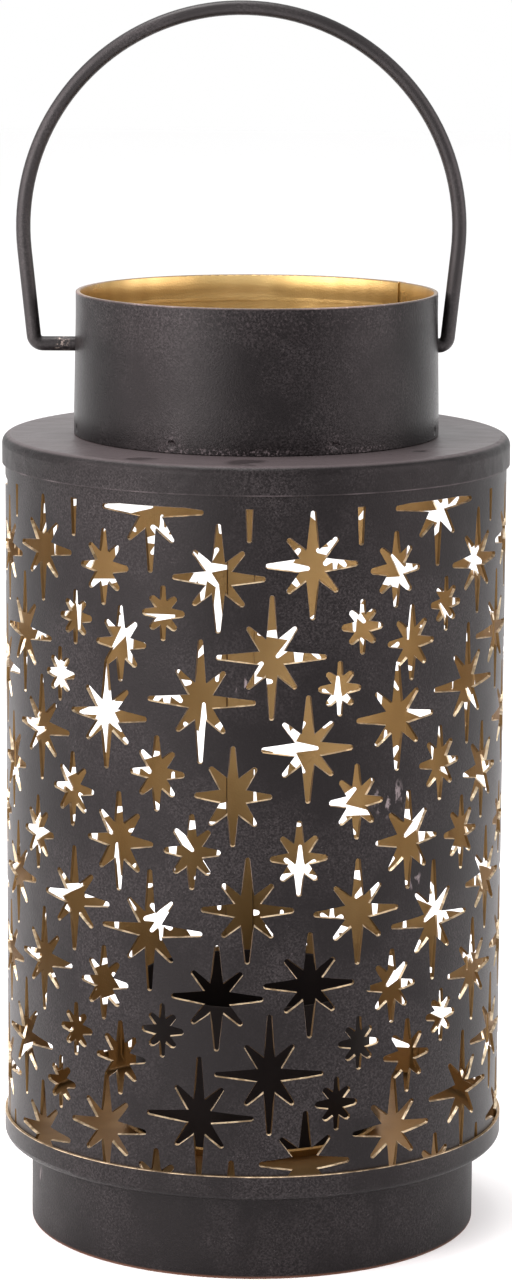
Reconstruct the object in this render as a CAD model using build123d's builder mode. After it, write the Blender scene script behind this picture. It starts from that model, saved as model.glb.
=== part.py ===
"""Punched tin lantern: a star-punched drum on a footed tray, with a collar and a swinging bail.

The origin is on the table at the lantern's centre line, +Z is up and the front faces -Y.
"""

from build123d import *
from build123d.topology import SkipClean
from math import ceil, cos, degrees, floor, radians, sin, tan
import os

# Drum
body_radius = 80.0
body_sheet = 0.9
sheet_height = 224.6
slip_gap = 0.1
cut_overrun = 2.0

# Punched pattern: a tile of twenty stars, repeated round and up the drum
tile_width = 94.9
tile_height = 130.9
tile_start = -32.9
tile_drop = 49.2
plain_band_top = 10.0
plain_band_bottom = 4.0
upright_tip = 0.8
star_tips = {"giant": 0.8, "large": 0.85, "tall": 0.85, "medium": 0.95, "small": 1.05}
star_heights = {"giant": 38.6, "large": 33.6, "tall": 31.4, "medium": 23.8, "small": 17.2}
bar_root = 1.5
bar_reach = 16.8
bar_rise = 4.0

# Drum's lap seam
seam_lap = 9.0
seam_line_width = 0.4
seam_line_depth = 0.45
seam_weld_count = 6
seam_weld_margin = 22.0

# Spot weld dimples
weld_radius = 1.6
weld_depth = 0.3

# Foot ring
foot_radius = 72.2
foot_height = 28.0
foot_sheet = 0.9
foot_flange = 8.0
foot_hem = 6.0
foot_bend = 1.0
foot_lap_turn = 60.0
foot_lap = 14.0

# Base tray
tray_sheet = 0.9
tray_bend = 1.2
tray_rim = 7.0

# Shoulder cap
shoulder_sheet = 0.9
shoulder_bend = 2.1
shoulder_skirt = 9.0
flange_rise = 7.0
flange_bend = 0.3

# Neck collar
neck_radius = 57.5
neck_sheet = 0.7
neck_height = 45.0
neck_hem = 8.5
neck_flare = 0.6
neck_flare_height = 8.0
neck_flare_run = 30.0
neck_lap_turn = 34.0
neck_lap = 12.0
neck_hem_gap = 1.4
neck_weld_count = 7
neck_weld_turn = -168.0
neck_weld_rise = 2.4

# Bail
bail_wire = 4.6
bail_arch = 69.0
bail_rise = 37.0
bail_lean = 6.0
bail_bend = 2.9
bail_play = 0.3
pivot_drop = 17.1
button_radius = 3.3
button_thick = 1.8
button_gap = 0.4
button_round = 0.6

# Candle cup, dish and rivet
cup_radius = 38.2
cup_sheet = 0.8
cup_height = 48.7
cup_bend = 1.0
dish_radius = 42.0
dish_sheet = 0.8
dish_rise = 3.0
dish_margin = 1.0
rivet_radius = 2.0
rivet_gap = 0.1
rivet_head = 4.2
rivet_dome = 1.6

# Levels, from the table up
floor_level = foot_height + tray_sheet
sheet_base = floor_level + tray_bend
sheet_top = sheet_base + sheet_height
shoulder_top = sheet_top + shoulder_bend + shoulder_sheet
neck_base = shoulder_top + flange_bend
neck_top = neck_base + neck_height
pivot_level = neck_top - pivot_drop
cup_base = floor_level + dish_sheet

punched_base = sheet_base + plain_band_bottom
punched_height = sheet_height - plain_band_bottom - plain_band_top

# Radii that follow from the fits
cap_radius = body_radius + slip_gap + shoulder_sheet
tray_radius = body_radius + slip_gap + tray_sheet
body_inside = body_radius - body_sheet
flange_radius = neck_radius + neck_flare - neck_sheet - slip_gap
rivet_hole = rivet_radius + rivet_gap
wire_radius = bail_wire / 2

# Turns round the drum, in degrees from +X
tile_turn = degrees(tile_width / body_radius)
first_turn = degrees(tile_start / body_radius) - 90
seam_sweep = degrees(seam_lap / body_radius)
tile_count = floor((360 - seam_sweep) / tile_turn)
tiles_left = tile_count // 2
rest_turn = 360 - seam_sweep - tile_count * tile_turn
seam_turn = first_turn + (tile_count - tiles_left) * tile_turn

# Star outlines as shares of each star's height: the level tip's reach, the slanted tip's
# place, the notch between level and slanted arms, and the notch between slanted and upright
star_outline_shares = {
    "giant": (0.438, (0.181, 0.231), (0.101, 0.054), (0.045, 0.151)),
    "large": (0.427, (0.215, 0.230), (0.125, 0.065), (0.060, 0.146)),
    "tall": (0.382, (0.210, 0.268), (0.134, 0.067), (0.054, 0.186)),
    "medium": (0.380, (0.208, 0.258), (0.143, 0.078), (0.067, 0.205)),
    "small": (0.403, (0.200, 0.250), (0.160, 0.098), (0.062, 0.235)),
}

# Star places as shares of the tile's width and height
star_place_shares = (
    (0.000, 0.005, "giant"),
    (0.228, 0.852, "large"),
    (0.532, 0.883, "large"),
    (0.825, 0.862, "medium"),
    (0.703, 0.733, "small"),
    (0.045, 0.765, "small"),
    (0.891, 0.685, "medium"),
    (0.401, 0.667, "giant"),
    (0.171, 0.561, "giant"),
    (0.626, 0.590, "small"),
    (0.836, 0.510, "large"),
    (0.521, 0.449, "large"),
    (0.024, 0.384, "medium"),
    (0.278, 0.338, "tall"),
    (0.688, 0.318, "medium"),
    (0.885, 0.212, "tall"),
    (0.494, 0.189, "medium"),
    (0.144, 0.202, "medium"),
    (0.327, 0.065, "large"),
    (0.695, 0.053, "large"),
)

os.makedirs("parts", exist_ok=True)


def finish(part, name):
    """Label a finished piece and write its file."""
    part.label = name
    export_step(part, "parts/" + name + ".step", write_pcurves=False)


def on_circle(radius, turn):
    """Point at a radius and an angle from +X."""
    return (radius * cos(radians(turn)), radius * sin(radians(turn)))


def arc_band(outer, inner, start, sweep):
    """Flat band between two radii, from one angle through a sweep."""
    with BuildSketch() as band:
        with BuildLine():
            CenterArc((0, 0), outer, start, sweep)
            Line(on_circle(outer, start + sweep), on_circle(inner, start + sweep))
            CenterArc((0, 0), inner, start, sweep)
            Line(on_circle(inner, start), on_circle(outer, start))
        make_face()
    return band.sketch


def lap_band(radius, sheet, turn, lap):
    """Outer layer of a lap seam: full thickness at its edge, run out into the wall behind."""
    sweep = degrees(lap / radius)
    buried = radius - sheet / 2
    with BuildSketch() as band:
        with BuildLine():
            Line(on_circle(buried, turn), on_circle(radius + sheet, turn))
            ThreePointArc(
                on_circle(radius + sheet, turn),
                on_circle(radius + sheet / 2, turn + sweep / 2),
                on_circle(buried, turn + sweep),
            )
            CenterArc((0, 0), buried, turn, sweep)
        make_face()
    return band.sketch


def dimple(wall_radius):
    """Radius of the ball that presses a weld dimple, and its centre's distance from the axis."""
    ball = (weld_radius**2 + weld_depth**2) / (2 * weld_depth)
    return ball, wall_radius - weld_depth + ball


def star_face(kind):
    """Eight-armed star whose tips are half octagons, drawn as a quarter and mirrored twice."""
    height = star_heights[kind]
    star_tip = star_tips[kind]
    level_share, slant_share, low_notch_share, high_notch_share = star_outline_shares[kind]
    level = level_share * height
    corner = star_tip * tan(radians(22.5))
    upright_corner = upright_tip * tan(radians(22.5))
    slant = Vector(*slant_share) * height
    along = slant.normalized()
    across = Vector(along.Y, -along.X)
    with BuildSketch() as star:
        with BuildLine():
            Polyline(
                (level, 0),
                (level, corner),
                (level - star_tip + corner, star_tip),
                Vector(*low_notch_share) * height,
                slant + along * corner + across * star_tip,
                slant + along * star_tip + across * corner,
                slant + along * star_tip - across * corner,
                slant + along * corner - across * star_tip,
                Vector(*high_notch_share) * height,
                (upright_tip, height / 2 - upright_tip + upright_corner),
                (upright_corner, height / 2),
                (0, height / 2),
            )
            mirror(about=Plane.XZ)
            mirror(about=Plane.YZ)
        make_face()
    return star.sketch


def bar_face():
    """Lower upright arm alone, all that the top edge leaves of a star centred above the field."""
    corner = upright_tip * tan(radians(22.5))
    with BuildSketch() as bar:
        with BuildLine():
            Polyline(
                (0, 0),
                (bar_root, 0),
                (upright_tip, -bar_reach + upright_tip - corner),
                (corner, -bar_reach),
                (0, -bar_reach),
            )
            mirror(about=Plane.YZ)
        make_face()
    return bar.sketch


def star_planes(start, sweep):
    """Planes inside the wall, by kind, for each star that reaches into a stretch of the drum."""
    planes = {kind: [] for kind in (*star_heights, "bar")}
    rows = ceil((sheet_height + tile_drop) / tile_height)
    for column in (-1, 0, 1):
        for row in range(rows):
            for across_share, up_share, kind in star_place_shares:
                turn = first_turn + (column + across_share) * tile_turn
                level = sheet_base - tile_drop + (row + up_share) * tile_height
                half = star_heights[kind] / 2
                reach = degrees(half / body_radius)
                beside = start - reach < turn < start + sweep + reach
                if beside and punched_base - half < level < punched_base + punched_height + half:
                    place = on_circle(body_inside - cut_overrun, turn)
                    tangent = on_circle(1, turn + 90)
                    outward = on_circle(1, turn)
                    plane = Plane((*place, level), x_dir=(*tangent, 0), z_dir=(*outward, 0))
                    above_field = level > punched_base + punched_height + bar_rise
                    planes["bar" if above_field else kind].append(plane)
    return planes


def punched_column(start, sweep):
    """Upright stretch of the drum with its stars, and its plain bands at both edges."""
    with BuildPart() as column:
        with BuildSketch(Plane.XY.offset(punched_base)):
            add(arc_band(body_radius, body_inside, start, sweep))
        extrude(amount=punched_height)
        for kind, planes in star_planes(start, sweep).items():
            if planes:
                with BuildSketch(*planes):
                    add(bar_face() if kind == "bar" else star_face(kind))
                extrude(amount=body_sheet + 2 * cut_overrun, mode=Mode.SUBTRACT)
        with BuildSketch(Plane.XY.offset(sheet_base)):
            add(arc_band(body_radius, body_inside, start, sweep))
        extrude(amount=plain_band_bottom)
        with BuildSketch(Plane.XY.offset(punched_base + punched_height)):
            add(arc_band(body_radius, body_inside, start, sweep))
        extrude(amount=plain_band_top)
    return column.part


# Drum's seam: both edges of the sheet lie over each other, with a fine line and a row of welds
with BuildPart() as seam_strip:
    with BuildSketch(Plane.XY.offset(sheet_base)):
        add(arc_band(body_radius, body_inside - body_sheet, seam_turn, seam_sweep))
    extrude(amount=sheet_height)
    line_sweep = degrees(seam_line_width / body_radius)
    with BuildSketch(Plane.XY.offset(sheet_base)):
        add(arc_band(body_radius + cut_overrun, body_radius - seam_line_depth, seam_turn, line_sweep))
    extrude(amount=sheet_height, mode=Mode.SUBTRACT)
    ball, distance = dimple(body_radius)
    weld_step = (sheet_height - 2 * seam_weld_margin) / (seam_weld_count - 1)
    for weld in range(seam_weld_count):
        x, y = on_circle(distance, seam_turn + seam_sweep / 2)
        with Locations((x, y, sheet_base + seam_weld_margin + weld * weld_step)):
            Sphere(ball, mode=Mode.SUBTRACT)

# Star sheet: one punched sheet rolled to a drum, whose columns repeat round from the seam
tile_column = punched_column(first_turn, tile_turn)
rest_column = punched_column(first_turn + tile_turn - rest_turn, rest_turn)
columns = [Rot(0, 0, (place - tiles_left) * tile_turn) * tile_column for place in range(tile_count)]
columns.append(Rot(0, 0, -(tiles_left + 1) * tile_turn) * rest_column)
with SkipClean():
    star_sheet = seam_strip.part.fuse(*columns, glue=True)
finish(star_sheet, "star_sheet")

# Base tray: a pressed disc with an upturned rim that holds the drum's lower edge
with BuildPart() as base_tray:
    with BuildSketch(Plane.XZ):
        with BuildLine():
            FilletPolyline(
                (rivet_hole, foot_height),
                (tray_radius, foot_height),
                (tray_radius, floor_level + tray_rim),
                radius=tray_bend + tray_sheet,
            )
            offset(amount=tray_sheet, side=Side.LEFT)
        make_face()
    revolve(axis=Axis.Z)
finish(base_tray.part, "base_tray")

# Foot ring: a rolled band with a flange under the tray and a hem folded inwards at the table
with BuildPart() as foot_ring:
    with BuildSketch(Plane.XZ):
        with BuildLine():
            FilletPolyline(
                (foot_radius - foot_flange, foot_height),
                (foot_radius, foot_height),
                (foot_radius, 0),
                radius=foot_bend + foot_sheet,
            )
            offset(amount=foot_sheet, side=Side.RIGHT)
        make_face()
        with Locations((foot_radius - foot_sheet, 0)):
            Rectangle(foot_sheet, foot_hem, align=(Align.MAX, Align.MIN))
    revolve(axis=Axis.Z)
    fillet(foot_ring.edges().group_by(Axis.Z)[0], foot_sheet / 2)
    with BuildSketch(Plane.XY.offset(foot_sheet)):
        add(lap_band(foot_radius, foot_sheet, foot_lap_turn, foot_lap))
    extrude(amount=foot_height - foot_bend - 2 * foot_sheet)
finish(foot_ring.part, "foot_ring")

# Shoulder cap: a pressed flat ring with a skirt over the drum and a flange inside the collar
with BuildPart() as shoulder_cap:
    with BuildSketch(Plane.XZ):
        with BuildLine():
            FilletPolyline(
                (cap_radius, shoulder_top - shoulder_skirt),
                (cap_radius, shoulder_top),
                (flange_radius, shoulder_top),
                (flange_radius, shoulder_top + flange_rise),
                radius=[shoulder_bend + shoulder_sheet, flange_bend],
            )
            offset(amount=shoulder_sheet, side=Side.LEFT)
        make_face()
    revolve(axis=Axis.Z)
finish(shoulder_cap.part, "shoulder_cap")

# Neck collar: a rolled band, widened over the shoulder's flange, with its top edge hemmed inwards
with BuildPart() as neck_collar:
    with BuildSketch(Plane.XZ):
        with BuildLine():
            Polyline(
                (neck_radius + neck_flare, neck_base),
                (neck_radius + neck_flare, neck_base + neck_flare_height),
                (neck_radius, neck_base + neck_flare_height + neck_flare_run),
                (neck_radius, neck_top),
            )
            offset(amount=neck_sheet, side=Side.LEFT)
        make_face()
        with Locations((neck_radius - neck_sheet, neck_top)):
            Rectangle(neck_sheet, neck_hem, align=(Align.MAX, Align.MAX))
    revolve(axis=Axis.Z)
    fillet(neck_collar.edges().group_by(Axis.Z)[-1], neck_sheet / 2)
    with BuildSketch(Plane.XY.offset(neck_base + flange_rise)):
        add(lap_band(neck_radius, neck_sheet, neck_lap_turn, neck_lap))
    extrude(amount=neck_height - flange_rise)
    gap_sweep = degrees(neck_hem_gap / neck_radius)
    with BuildSketch(Plane.XY.offset(neck_top - neck_hem)):
        add(arc_band(neck_radius - neck_sheet, flange_radius - cut_overrun, neck_lap_turn, gap_sweep))
    extrude(amount=neck_hem, mode=Mode.SUBTRACT)
    ball, distance = dimple(neck_radius + neck_flare)
    with Locations((0, 0, neck_base + neck_weld_rise)):
        with PolarLocations(distance, neck_weld_count, start_angle=neck_weld_turn):
            Sphere(ball, mode=Mode.SUBTRACT)
    with BuildSketch(Plane.YZ):
        with Locations((0, pivot_level)):
            Circle(wire_radius + bail_play)
    extrude(amount=neck_radius + cut_overrun, both=True, mode=Mode.SUBTRACT)
finish(neck_collar.part, "neck_collar")

# Bail: one wire, bent to an arch on two leaning legs, whose ends turn in through the collar.
# It hangs to the left, where its right bend meets the collar.
lean = radians(bail_lean)
touch_run = bail_arch * cos(lean)
touch_rise = bail_rise - bail_arch * sin(lean)
bail_corner = touch_run - touch_rise * tan(lean)
bail_tangent = bail_bend * tan(radians(90 - bail_lean) / 2)
bail_shift = bail_corner - bail_tangent - neck_radius - bail_play
bail_end = neck_radius - neck_sheet - button_gap - bail_shift
bail_plane = Plane((-bail_shift, 0, pivot_level), x_dir=(1, 0, 0), z_dir=(0, -1, 0))
with BuildPart() as bail_handle:
    with BuildLine(bail_plane) as bail_path:
        FilletPolyline(
            (-bail_end, 0),
            (-bail_corner, 0),
            (-touch_run, touch_rise),
            radius=bail_bend,
        )
        CenterArc((0, bail_rise), bail_arch, 180 + bail_lean, -180 - 2 * bail_lean)
        FilletPolyline(
            (touch_run, touch_rise),
            (bail_corner, 0),
            (bail_end, 0),
            radius=bail_bend,
        )
    wire = bail_path.wires()[0]
    with BuildSketch(Plane(wire @ 0, z_dir=wire % 0)):
        Circle(wire_radius)
    sweep(path=wire)
    for side in (-1, 1):
        with BuildSketch(Plane.YZ.offset(side * bail_end - bail_shift)):
            with Locations((0, pivot_level)):
                Circle(button_radius)
        extrude(amount=-side * button_thick)
    fillet(bail_handle.edges().filter_by(GeomType.CIRCLE).filter_by(
        lambda edge: abs(edge.radius - button_radius) < slip_gap), button_round)
finish(bail_handle.part, "bail_handle")

# Drip dish: a low flared disc between the cup and the tray
with BuildPart() as drip_dish:
    with BuildSketch(Plane.XZ):
        with BuildLine():
            Polyline(
                (rivet_hole, floor_level),
                (cup_radius + dish_margin, floor_level),
                (dish_radius, floor_level + dish_rise),
            )
            offset(amount=dish_sheet, side=Side.LEFT)
        make_face()
    revolve(axis=Axis.Z)
finish(drip_dish.part, "drip_dish")

# Candle cup: a drawn cup that stands on the dish
with BuildPart() as candle_cup:
    with BuildSketch(Plane.XZ):
        with BuildLine():
            FilletPolyline(
                (rivet_hole, cup_base),
                (cup_radius, cup_base),
                (cup_radius, cup_base + cup_height),
                radius=cup_bend + cup_sheet,
            )
            offset(amount=cup_sheet, side=Side.LEFT)
        make_face()
    revolve(axis=Axis.Z)
    fillet(candle_cup.edges().group_by(Axis.Z)[-1], cup_sheet / 3)
finish(candle_cup.part, "candle_cup")

# Cup rivet: its shank runs through cup, dish and tray, with a domed head at each end
rivet_top = cup_base + cup_sheet
with BuildPart() as cup_rivet:
    with BuildSketch(Plane.XZ):
        with BuildLine():
            TangentArc((0, rivet_top + rivet_dome), (rivet_head, rivet_top), tangent=(1, 0))
            Polyline(
                (rivet_head, rivet_top),
                (rivet_radius, rivet_top),
                (rivet_radius, foot_height),
                (rivet_head, foot_height),
            )
            TangentArc((0, foot_height - rivet_dome), (rivet_head, foot_height), tangent=(1, 0))
            Line((0, foot_height - rivet_dome), (0, rivet_top + rivet_dome))
        make_face()
    revolve(axis=Axis.Z)
finish(cup_rivet.part, "cup_rivet")
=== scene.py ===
"""Punched tin lantern: charcoal outside and gold inside, with stars cut through its drum."""

import math

import bmesh
import bpy
from mathutils import Matrix, Vector


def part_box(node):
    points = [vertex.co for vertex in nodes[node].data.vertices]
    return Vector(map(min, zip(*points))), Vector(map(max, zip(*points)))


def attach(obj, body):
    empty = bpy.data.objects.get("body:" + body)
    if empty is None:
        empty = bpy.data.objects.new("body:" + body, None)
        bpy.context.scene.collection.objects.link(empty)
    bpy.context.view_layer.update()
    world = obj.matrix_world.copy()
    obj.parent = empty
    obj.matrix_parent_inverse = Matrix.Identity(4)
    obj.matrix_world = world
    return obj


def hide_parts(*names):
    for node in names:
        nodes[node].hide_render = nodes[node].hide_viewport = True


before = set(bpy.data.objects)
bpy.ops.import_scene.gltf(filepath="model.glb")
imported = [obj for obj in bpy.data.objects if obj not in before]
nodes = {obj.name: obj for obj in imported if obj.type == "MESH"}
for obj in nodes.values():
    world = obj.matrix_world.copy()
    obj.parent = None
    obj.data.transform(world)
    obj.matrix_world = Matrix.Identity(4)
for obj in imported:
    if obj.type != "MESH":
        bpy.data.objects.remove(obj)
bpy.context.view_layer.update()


# Camera: stands a little higher than the bail and looks slightly down through a long lens.
# The photograph leans by a third of a degree, so the camera is rolled by as much.
photo_height = 1280
focal_pixels = 4324
film_height = 24.0
camera_place = (0.0003, -1.370, 0.4345)
camera_pitch = math.radians(10.1)
camera_roll = math.radians(0.32)

camera = bpy.data.objects.new("camera", bpy.data.cameras.new("camera"))
bpy.context.scene.collection.objects.link(camera)
camera.data.sensor_fit = "VERTICAL"
camera.data.sensor_height = film_height
camera.data.lens = film_height * focal_pixels / photo_height
camera.matrix_world = (
    Matrix.Translation(camera_place)
    @ Matrix.Rotation(math.radians(90) - camera_pitch, 4, "X")
    @ Matrix.Rotation(camera_roll, 4, "Z")
)
bpy.context.scene.camera = camera


# Lights: square soft lights on the left, at the left front, on the right and overhead, in a
# white surround, as for a small catalogue set. All are large, so that no shadow is hard.
light_aim = Vector((0, 0, 0.2))
side_tint = (1.0, 0.89, 0.90)
front_tint = (1.0, 0.97, 0.96)
top_tint = (1.0, 0.98, 0.97)


def softbox(name, place, side, watts, tint):
    """Square area light at a place, turned to the middle of the lantern."""
    light = bpy.data.lights.new(name, "AREA")
    light.shape = "SQUARE"
    light.size = side
    light.energy = watts
    light.color = tint
    lamp = bpy.data.objects.new(name, light)
    bpy.context.scene.collection.objects.link(lamp)
    lamp.location = place
    lamp.rotation_euler = (light_aim - Vector(place)).to_track_quat("-Z", "Y").to_euler()


softbox("left_light", place=(-1.5, -0.7, 1.0), side=2.0, watts=50, tint=side_tint)
softbox("front_light", place=(-1.05, -1.35, 0.55), side=1.2, watts=19, tint=front_tint)
softbox("right_light", place=(1.6, -0.5, 0.8), side=1.5, watts=22, tint=side_tint)
softbox("top_light", place=(-0.3, 0.1, 1.7), side=0.8, watts=20, tint=top_tint)

studio = bpy.data.worlds.new("studio")
studio.use_nodes = True
surround = studio.node_tree.nodes["Background"].inputs
surround["Color"].default_value = (1, 1, 1, 1)
surround["Strength"].default_value = 1.0
bpy.context.scene.world = studio
bpy.context.scene.view_settings.view_transform = "Standard"


# Drum: sheet with star-shaped holes punched through, rolled and welded along a lap at the back.
# Charcoal lacquer outside, gold lacquer inside; star walls painted highlight facing up, painted
# shade facing down.
drum_thickness = 0.0009
# Each star narrows from the outer skin to the inner one, and its walls lean in by this much.
drum_taper = 0.00025
# A face belongs to a star's wall where it looks less than this towards or from the centre line.
wall_facing = 0.4
# The taper moves only corners this deep in the sheet, and this far from its top and bottom edge.
inner_depth = 0.0005
edge_margin = 0.0002
# Where two walls meet at a sharp tip, the corner shifts by no more than the taper over this.
tip_limit = 0.5
# Faces that meet at more than this angle, in radians, show a sharp edge.
crease_angle = 0.4
same_place = 1e-6

drum_low, drum_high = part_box("star_sheet")
drum_radius = drum_high.y
drum_mesh = bmesh.new()
drum_mesh.from_mesh(nodes["star_sheet"].data)
bmesh.ops.remove_doubles(drum_mesh, verts=drum_mesh.verts, dist=same_place)


def faces_away(normal, middle):
    """How far a face looks away from the centre line, from minus one to one."""
    return normal.xy.dot(middle.xy.normalized())


def star_walls(vert):
    """Directions of the star's walls that meet at a corner of the sheet."""
    sides = [(face.normal, face.calc_center_median()) for face in vert.link_faces]
    return [normal for normal, middle in sides if abs(faces_away(normal, middle)) < wall_facing]


def tapered(corner, walls):
    """Where an inner corner of a star goes, so that its walls lean into the hole."""
    bisector = sum(walls, Vector()).normalized()
    return corner + bisector * drum_taper / max(bisector.dot(walls[0]), tip_limit)


drum_moves = {}
for vert in drum_mesh.verts:
    inside = vert.co.xy.length < drum_radius - inner_depth
    in_field = drum_low.z + edge_margin < vert.co.z < drum_high.z - edge_margin
    walls = star_walls(vert) if inside and in_field else []
    if walls:
        drum_moves[vert] = tapered(vert.co, walls)
for vert, place in drum_moves.items():
    vert.co = place
for face in drum_mesh.faces:
    face.smooth = True
for edge in drum_mesh.edges:
    edge.smooth = edge.calc_face_angle(0) < crease_angle
drum_sheet = bpy.data.meshes.new("drum")
drum_mesh.to_mesh(drum_sheet)
drum_mesh.free()

# The skins are true cylinders, so their shading normals point straight away from the centre line.
drum_skins = (drum_radius, drum_radius - drum_thickness)
skin_facing = 0.9
skin_slack = 0.00002
drum_normals = []
for polygon in drum_sheet.polygons:
    side = faces_away(polygon.normal, polygon.center)
    for loop in polygon.loop_indices:
        corner = drum_sheet.vertices[drum_sheet.loops[loop].vertex_index].co
        on_skin = min(abs(corner.xy.length - skin) for skin in drum_skins) < skin_slack
        if abs(side) > skin_facing and on_skin:
            drum_normals.append(math.copysign(1, side) * corner.xy.normalized().to_3d())
        else:
            drum_normals.append(drum_sheet.corner_normals[loop].vector.copy())
drum_sheet.normals_split_custom_set(drum_normals)
drum = bpy.data.objects.new("drum", drum_sheet)
bpy.context.scene.collection.objects.link(drum)
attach(drum, "body")
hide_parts("star_sheet")

charcoal = (0.0020, 0.0013, 0.0015)
charcoal_pale = (0.036, 0.031, 0.032)
# Pale lacquer for real scuffs and chips, also used as the painted sheen on the shoulder's top.
wear_and_sheen_lacquer = (0.17, 0.140, 0.145)
gold_deep = (0.255, 0.160, 0.062)
gold_pale = (0.40, 0.268, 0.118)
# Pale cut metal is the painted highlight on the star walls, and the shaded copy is painted shade.
cut_metal_lit = (0.90, 0.76, 0.54)
cut_shaded = (0.13, 0.078, 0.030)
lacquer_glint = (1.0, 0.95, 0.96)


class Value:
    """A node's output that adds Math nodes when it stands in an expression."""

    def __init__(self, finish, socket):
        self.finish = finish
        self.socket = socket

    def maths(self, operation, *values):
        """Add the Math node for an operation on these values."""
        return self.finish.node("Math", {"operation": operation}, dict(enumerate(values)))

    def __add__(self, other):
        return self.maths("ADD", self, other)

    def __sub__(self, other):
        return self.maths("SUBTRACT", self, other)

    def __rsub__(self, other):
        return self.maths("SUBTRACT", other, self)

    def __mul__(self, other):
        return self.maths("MULTIPLY", self, other)

    def __truediv__(self, other):
        return self.maths("DIVIDE", self, other)

    __radd__ = __add__
    __rmul__ = __mul__

    def rise(self, low, high):
        """Zero below low, one above high, and a smooth slope between."""
        inputs = {"Value": self, "From Min": low, "From Max": high}
        return self.finish.node("MapRange", {"interpolation_type": "SMOOTHSTEP"}, inputs)


class Finish:
    """A material in the making, with one method that adds any node."""

    def __init__(self, name, shine=0.16):
        self.material = bpy.data.materials.new(name)
        self.material.use_nodes = True
        self.tree = self.material.node_tree
        self.shader = self.tree.nodes["Principled BSDF"]
        self.shader.inputs["Specular IOR Level"].default_value = shine
        self.set(specular_tint=lacquer_glint)
        self.place = self.node("TexCoord", output="Object")
        self.facing = self.node("TexCoord", output="Normal")

    def node(self, kind, settings=None, inputs=None, output=0):
        """Add a node with its settings, then the values or links of its inputs."""
        made = self.tree.nodes.new("ShaderNode" + kind)
        for name, value in (settings or {}).items():
            setattr(made, name, value)
        for name, value in (inputs or {}).items():
            self.feed(made.inputs[name], value)
        return Value(self, made.outputs[output])

    def feed(self, socket, value):
        """Link a node's output to a socket, or give the socket a plain number or colour."""
        if isinstance(value, Value):
            self.tree.links.new(value.socket, socket)
        elif isinstance(value, tuple) and socket.type == "RGBA":
            socket.default_value = (*value, 1)
        else:
            socket.default_value = value

    def set(self, **sockets):
        """Feed the shader's own sockets, by their names in lower case."""
        for name, value in sockets.items():
            self.feed(self.shader.inputs[name.replace("_", " ").title()], value)

    def vectors(self, operation, *values, output="Vector"):
        """Add the Vector Math node for an operation on these values."""
        return self.node("VectorMath", {"operation": operation}, dict(enumerate(values)), output)

    def part(self, vector, axis):
        """One number of a vector, by its axis."""
        return self.node("SeparateXYZ", inputs={"Vector": vector}, output=axis)

    def mix(self, share, first, second):
        """The first colour where share is zero, and the second where it is one."""
        share_in, first_in, second_in, colour_out = 0, 6, 7, 2
        inputs = {share_in: share, first_in: first, second_in: second}
        return self.node("Mix", {"data_type": "RGBA"}, inputs, colour_out)

    def noise(self, scale, detail=2.0, stretch=(1, 1, 1)):
        """Cloudy noise from zero to one, with about scale clouds to a metre."""
        spread = self.node("Mapping", inputs={"Vector": self.place, "Scale": stretch})
        inputs = {"Vector": spread, "Scale": scale, "Detail": detail, "Roughness": 0.6}
        return self.node("TexNoise", inputs=inputs)

    def outward(self):
        """How far a face looks away from the lantern's centre line, from minus one to one."""
        flat = self.vectors("MULTIPLY", self.place, (1, 1, 0))
        away = self.vectors("NORMALIZE", flat)
        return self.vectors("DOT_PRODUCT", away, self.facing, output="Value")

    def near(self, spot, full, reach):
        """One up to full metres from a spot, and zero from its reach on."""
        return 1 - self.vectors("DISTANCE", self.place, spot, output="Value").rise(full, reach)

    def bump(self, height):
        """Surface relief from a height in metres."""
        return self.node("Bump", inputs={"Height": height, "Distance": 1.0, "Strength": 1.0})


def charcoal_colour(finish):
    """Charcoal lacquer: fine pale flakes in a dark ground, with broad cloudy patches."""
    mottle = finish.noise(1500, 3).rise(0.38, 0.66)
    clouds = finish.noise(30, 4).rise(0.38, 0.64)
    flecks = finish.noise(1900, 1).rise(0.66, 0.76)
    share = mottle * (0.05 + 0.42 * clouds) + 0.9 * flecks * (0.25 + 0.75 * clouds)
    return finish.mix(share, charcoal, charcoal_pale)


def gold_colour(finish, deep=gold_deep, pale=gold_pale):
    """Gold lacquer: even, with slow streaks from spraying."""
    streaks = finish.noise(30, 3, stretch=(1, 1, 0.35))
    return finish.mix(streaks.rise(0.3, 0.7), deep, pale)


def lacquer_relief(finish):
    """Height of the sprayed lacquer, in metres: a fine grain on slow waves of the sheet."""
    grain_height = 0.00009
    wave_height = 0.0003
    return grain_height * finish.noise(1700, 3) + wave_height * finish.noise(34, 2)


def two_sided(finish, outside, edge, gold, edge_colour, gloss=0.32, relief=0.0, wear_and_sheen=0.0):
    """Charcoal where outside is one, gold elsewhere, and the edge colour where edge is one."""
    lacquer = finish.mix(wear_and_sheen, charcoal_colour(finish), wear_and_sheen_lacquer)
    skin = finish.mix(outside, gold, lacquer)
    finish.set(
        base_color=finish.mix(edge, skin, edge_colour),
        metallic=(1 - outside) * 0.85,
        roughness=gloss - 0.05 + 0.20 * finish.noise(28, 3),
        normal=finish.bump(lacquer_relief(finish) + relief),
    )
    return finish.material


def dress(node, material):
    """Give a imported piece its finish."""
    nodes[node].data.materials.clear()
    nodes[node].data.materials.append(material)


drum_finish = Finish("drum_lacquer")
drum_outward = drum_finish.outward()
drum_outside = drum_outward.rise(0.45, 0.6)
drum_walls = drum_outward.rise(-0.6, -0.45) * (1 - drum_outside)
# Painted light: walls that face up get a pale highlight and those facing down painted shade,
# broken into dashes.
drum_lit = drum_finish.part(drum_finish.facing, "Z").rise(0.05, 0.65)
drum_highlight_breaks = 0.35 + 0.65 * drum_finish.noise(280, 2).rise(0.40, 0.58)
drum_edge = drum_finish.mix(drum_lit * drum_highlight_breaks, cut_shaded, cut_metal_lit)
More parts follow.
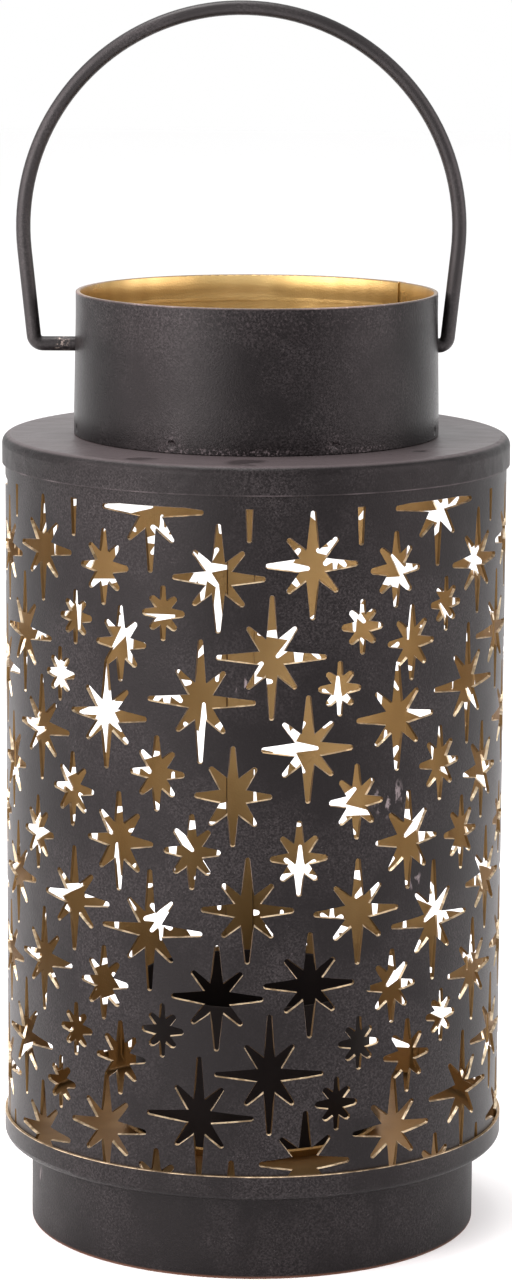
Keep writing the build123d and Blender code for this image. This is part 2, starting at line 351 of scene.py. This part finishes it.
# Scuffs in the charcoal: the middle of each and its reach.
drum_scuffs = [
    ((0.0415, -0.0684, 0.1535), 0.0075),
    ((0.0500, -0.0624, 0.1260), 0.0035),
    ((-0.0040, -0.0799, 0.1905), 0.0035),
]
drum_scratches = drum_finish.noise(420, 4, stretch=(1, 1, 0.4)).rise(0.53, 0.60)
drum_worn = 0.0
for spot, reach in drum_scuffs:
    drum_worn = drum_worn + drum_finish.near(spot, 0.4 * reach, reach) * drum_scratches * 0.8
drum_gold = gold_colour(drum_finish)
drum_sheet.materials.append(
    two_sided(drum_finish, drum_outside, drum_walls, drum_gold, drum_edge, wear_and_sheen=drum_worn)
)


# Base tray: a pressed disc whose short rim holds the drum's lower edge.
# Gold inside, charcoal outside, with a worn pale line along the rim's top edge.
tray_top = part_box("base_tray")[1].z
tray_line_start = 0.0003
tray_line_full = 0.0001
tray_bare = (0.60, 0.46, 0.30)
tray_finish = Finish("tray_lacquer")
tray_height = tray_finish.part(tray_finish.place, "Z")
tray_up = tray_finish.part(tray_finish.facing, "Z")
tray_rim = tray_height.rise(tray_top - tray_line_start, tray_top - tray_line_full)
tray_small_chips = tray_finish.noise(260, 3).rise(0.45, 0.6)
tray_broad_chips = tray_finish.noise(30, 2).rise(0.45, 0.6)
tray_rim_line = tray_rim * (0.12 + 0.8 * (0.5 * tray_small_chips + 0.5 * tray_broad_chips))
tray_under = 1 - tray_up.rise(-0.6, -0.4)
tray_side = tray_finish.outward().rise(0.2, 0.4)
tray_outside = tray_under + tray_side * (1 - tray_under)
tray_gold = gold_colour(tray_finish, deep=(0.28, 0.175, 0.075), pale=(0.44, 0.29, 0.135))
dress("base_tray", two_sided(tray_finish, tray_outside, tray_rim_line, tray_gold, tray_bare))


# Foot ring: a rolled band under the tray, hemmed inwards where it stands.
# Charcoal all over, a little browner where the lacquer thins out at the hem.
foot_thin_full = 0.0002
foot_thin_end = 0.0011
foot_brown = (0.16, 0.07, 0.04)
foot_scratch_spot = (-0.0690, -0.0215, 0.0185)
foot_scratch_core = 0.002
foot_scratch_reach = 0.005
foot_finish = Finish("foot_lacquer")
foot_height = foot_finish.part(foot_finish.place, "Z")
foot_thin = (1 - foot_height.rise(foot_thin_full, foot_thin_end)) * 0.6
foot_lacquer = foot_finish.mix(foot_thin, charcoal_colour(foot_finish), foot_brown)
foot_scratched = foot_finish.near(foot_scratch_spot, foot_scratch_core, foot_scratch_reach)
foot_lines = foot_finish.noise(500, 2, stretch=(1, 1, 0.15)).rise(0.56, 0.62)
foot_finish.set(
    base_color=foot_finish.mix(foot_scratched * foot_lines * 0.7, foot_lacquer, wear_and_sheen_lacquer),
    roughness=0.38 + 0.24 * foot_finish.noise(28, 3),
    normal=foot_finish.bump(lacquer_relief(foot_finish)),
)
dress("foot_ring", foot_finish.material)


# Shoulder cap: a pressed ring with a rounded corner and a skirt over the drum.
# Charcoal above and outside, gold underneath, with shallow dull dents on its flat, whose top has
# a painted sheen.
cap_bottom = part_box("shoulder_cap")[0].z
cap_hem_full = 0.0002
cap_hem_end = 0.0005
cap_wave_height = 0.0009
cap_gloss = 0.36
# The middle of each dent, its reach and its depth.
cap_dents = [
    ((-0.0345, -0.0620, 0.2577), 0.0085, 0.0005),
    ((-0.0020, -0.0715, 0.2577), 0.0090, 0.0006),
    ((0.0435, -0.0520, 0.2577), 0.0036, 0.0004),
    ((0.0510, -0.0430, 0.2577), 0.0036, 0.0004),
    ((0.0560, -0.0350, 0.2577), 0.0030, 0.0003),
]
cap_finish = Finish("shoulder_lacquer")
cap_height = cap_finish.part(cap_finish.place, "Z")
cap_up = cap_finish.part(cap_finish.facing, "Z")
cap_top = cap_up.rise(0.2, 0.4)
cap_side = cap_finish.outward().rise(0.2, 0.4)
cap_outside = cap_top + cap_side - cap_top * cap_side
cap_blots = cap_finish.noise(150, 3, stretch=(0.6, 1, 1)).rise(0.38, 0.58)
cap_relief = cap_wave_height * cap_finish.noise(62, 2)
cap_dented = 0.0
for spot, reach, depth in cap_dents:
    dent = cap_finish.near(spot, 0.1 * reach, 1.2 * reach) * cap_blots
    cap_relief = cap_relief - depth * dent
    cap_dented = cap_dented + dent
cap_dent_dimming = cap_dented.rise(0.1, 0.6)
cap_finish.set(
    coat_weight=cap_up.rise(0.96, 1.0) * (1 - cap_dent_dimming) * 0.18,
    coat_roughness=cap_gloss,
)
cap_hem = 1 - cap_height.rise(cap_bottom + cap_hem_full, cap_bottom + cap_hem_end)
cap_hem_worn = cap_hem * (0.05 + 0.20 * cap_finish.noise(60, 3).rise(0.45, 0.65))
# Painted sheen: the flat top is painted paler where it faces up, and less so in the dents.
cap_top_sheen = cap_up.rise(0.7, 0.98) * (1 - 0.65 * cap_dent_dimming) * 0.34
dress(
    "shoulder_cap",
    two_sided(
        cap_finish,
        cap_outside,
        edge=0.0,
        gold=gold_colour(cap_finish),
        edge_colour=cut_metal_lit,
        gloss=cap_gloss,
        relief=cap_relief,
        wear_and_sheen=cap_hem_worn + cap_top_sheen,
    ),
)


# Neck collar: a rolled band over the shoulder's flange, spot welded, its top edge hemmed inwards.
# Charcoal outside, gold inside painted paler as light; pale along the rim, partly rubbed, partly
# painted highlight.
collar_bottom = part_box("neck_collar")[0].z
collar_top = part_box("neck_collar")[1].z
collar_rim_start = 0.0005
collar_rim_full = 0.0002
collar_rub_start = 0.018
collar_rub_full = 0.001
collar_foot_full = 0.0010
collar_foot_end = 0.0022
collar_hem_height = 0.00375
collar_hem_depth = 0.0004
collar_rim_wear_and_sheen = (0.36, 0.27, 0.25)
# Where the lacquer is chipped: the middle, the reach, and how strongly so above the foot.
collar_chips = [
    ((-0.0080, -0.0575, 0.2590), 0.0300, 0.2),
    ((-0.0259, -0.0519, 0.2604), 0.0060, 0.4),
    ((0.0244, -0.0526, 0.2604), 0.0060, 0.4),
    ((0.0310, -0.0485, 0.2590), 0.0160, 0.2),
    ((-0.0120, 0.0562, 0.2590), 0.0200, 0.2),
]
collar_finish = Finish("collar_lacquer")
collar_height = collar_finish.part(collar_finish.place, "Z")
collar_side = collar_finish.outward().rise(0.1, 0.3)
collar_over = 0.7 * collar_finish.part(collar_finish.facing, "Z").rise(0.6, 0.9)
collar_outside = collar_side + collar_over * (1 - collar_side)
collar_rim = collar_height.rise(collar_top - collar_rim_start, collar_top - collar_rim_full)
collar_specks = collar_finish.noise(900, 3).rise(0.55, 0.66)
collar_patches = collar_finish.noise(24, 2).rise(0.45, 0.65)
# The pale rim line is partly rubbed lacquer and partly a painted highlight on the rounded top
# edge.
collar_edge = collar_rim * (0.12 + 0.3 * collar_patches + 0.5 * collar_specks * collar_patches)
collar_foot_rise = (collar_bottom + collar_foot_full, collar_bottom + collar_foot_end)
collar_foot = 1 - collar_height.rise(*collar_foot_rise)
# More pale flecks towards the top: partly rubbing and partly a painted sheen of the light from
# above.
collar_rub_and_sheen = collar_height.rise(collar_top - collar_rub_start, collar_top - collar_rub_full)
collar_chipped = 0.0
for spot, reach, spread in collar_chips:
    chip = collar_finish.near(spot, 0.3 * reach, reach)
    collar_chipped = collar_chipped + chip * (spread + (1 - spread) * collar_foot)
collar_flecks = collar_finish.noise(1300, 3).rise(0.50, 0.66)
collar_hem = (collar_height - (collar_top - collar_hem_height)) / collar_hem_height
collar_bulge = collar_hem.maths("MINIMUM", collar_hem * collar_hem, 1.0) * (1 - collar_outside)
dress(
    "neck_collar",
    two_sided(
        collar_finish,
        collar_outside,
        edge=collar_edge,
        # Painted light: the inside gold is a paler copy of the drum's gold, for the brighter
        # inside of the neck.
        gold=gold_colour(collar_finish, deep=(0.36, 0.236, 0.082), pale=(0.64, 0.448, 0.19)),
        edge_colour=collar_rim_wear_and_sheen,
        gloss=0.24,
        relief=-collar_hem_depth * collar_bulge,
        wear_and_sheen=collar_flecks * (0.4 * collar_chipped.rise(0, 1) + 0.10 * collar_rub_and_sheen),
    ),
)


# Bail: one steel wire bent to an arch, its ends passed through the collar and upset inside.
# Charcoal lacquer, rubbed to bare metal where the left end slides in its hole.
rub_left = -0.0645
rub_right = -0.0590
rub_top = 0.2905
rub_fade = 0.0015
rub_top_fade = 0.0010
wire_grain_height = 0.00005
rubbed_steel = (0.22, 0.18, 0.16)
bail_finish = Finish("wire_lacquer", shine=0.36)
bail_run = bail_finish.part(bail_finish.place, "X")
bail_height = bail_finish.part(bail_finish.place, "Z")
rubbed_from = bail_run.rise(rub_left, rub_left + rub_fade)
rubbed_to = 1 - bail_run.rise(rub_right - rub_fade, rub_right)
rubbed_level = 1 - bail_height.rise(rub_top - rub_top_fade, rub_top)
rubbed = rubbed_from * rubbed_to * rubbed_level * bail_finish.noise(900, 3).rise(0.5, 0.65)
bail_finish.set(
    base_color=bail_finish.mix(rubbed, charcoal_colour(bail_finish), rubbed_steel),
    metallic=rubbed * 0.6,
    roughness=0.36 + 0.12 * bail_finish.noise(60, 3),
    normal=bail_finish.bump(wire_grain_height * bail_finish.noise(2200, 2)),
)
dress("bail_handle", bail_finish.material)


# Candle cup: a drawn steel cup that stands on the dish and holds the candle.
# Dull black all over, with slightly paler clouds.
cup_black = (0.004, 0.0031, 0.0031)
cup_soot = (0.013, 0.0100, 0.0098)
cup_grain_height = 0.00003
cup_finish = Finish("cup_black", shine=0.12)
cup_clouds = cup_finish.noise(60, 4)
cup_finish.set(
    base_color=cup_finish.mix(cup_clouds, cup_black, cup_soot),
    roughness=0.5 + 0.2 * cup_clouds,
    normal=cup_finish.bump(cup_grain_height * cup_finish.noise(1500, 2)),
)
dress("candle_cup", cup_finish.material)


# Drip dish: a low flared disc of pressed sheet under the cup, which catches wax.
# Gold lacquer all over, like the inside of the tray that it lies on.
dish_finish = Finish("dish_lacquer")
dish_gold = gold_colour(dish_finish)
dress(
    "drip_dish",
    two_sided(dish_finish, outside=0.0, edge=0.0, gold=dish_gold, edge_colour=cut_metal_lit),
)


# Cup rivet: a plain steel rivet, drawn tight through cup, dish and tray.
# Bare metal, a little uneven in colour and gloss.
rivet_dark = (0.30, 0.28, 0.26)
rivet_pale = (0.50, 0.48, 0.45)
rivet_finish = Finish("rivet_steel")
rivet_finish.set(
    base_color=rivet_finish.mix(rivet_finish.noise(800, 2), rivet_dark, rivet_pale),
    metallic=1.0,
    roughness=0.35 + 0.15 * rivet_finish.noise(300, 2),
)
dress("cup_rivet", rivet_finish.material)


# Floor: plain white paper, flat and broad, so that the lantern can be seen from every side.
# It belongs to the studio and isn't part of the lantern.
paper_reach = 6
paper_white = (0.98, 0.98, 0.98)
paper = bmesh.new()
bmesh.ops.create_grid(paper, x_segments=1, y_segments=1, size=paper_reach)
paper_mesh = bpy.data.meshes.new("floor")
paper.to_mesh(paper_mesh)
paper.free()
floor = bpy.data.objects.new("floor", paper_mesh)
bpy.context.scene.collection.objects.link(floor)
floor_finish = Finish("pale_paper")
floor_finish.set(base_color=paper_white, roughness=0.8)
floor.data.materials.append(floor_finish.material)
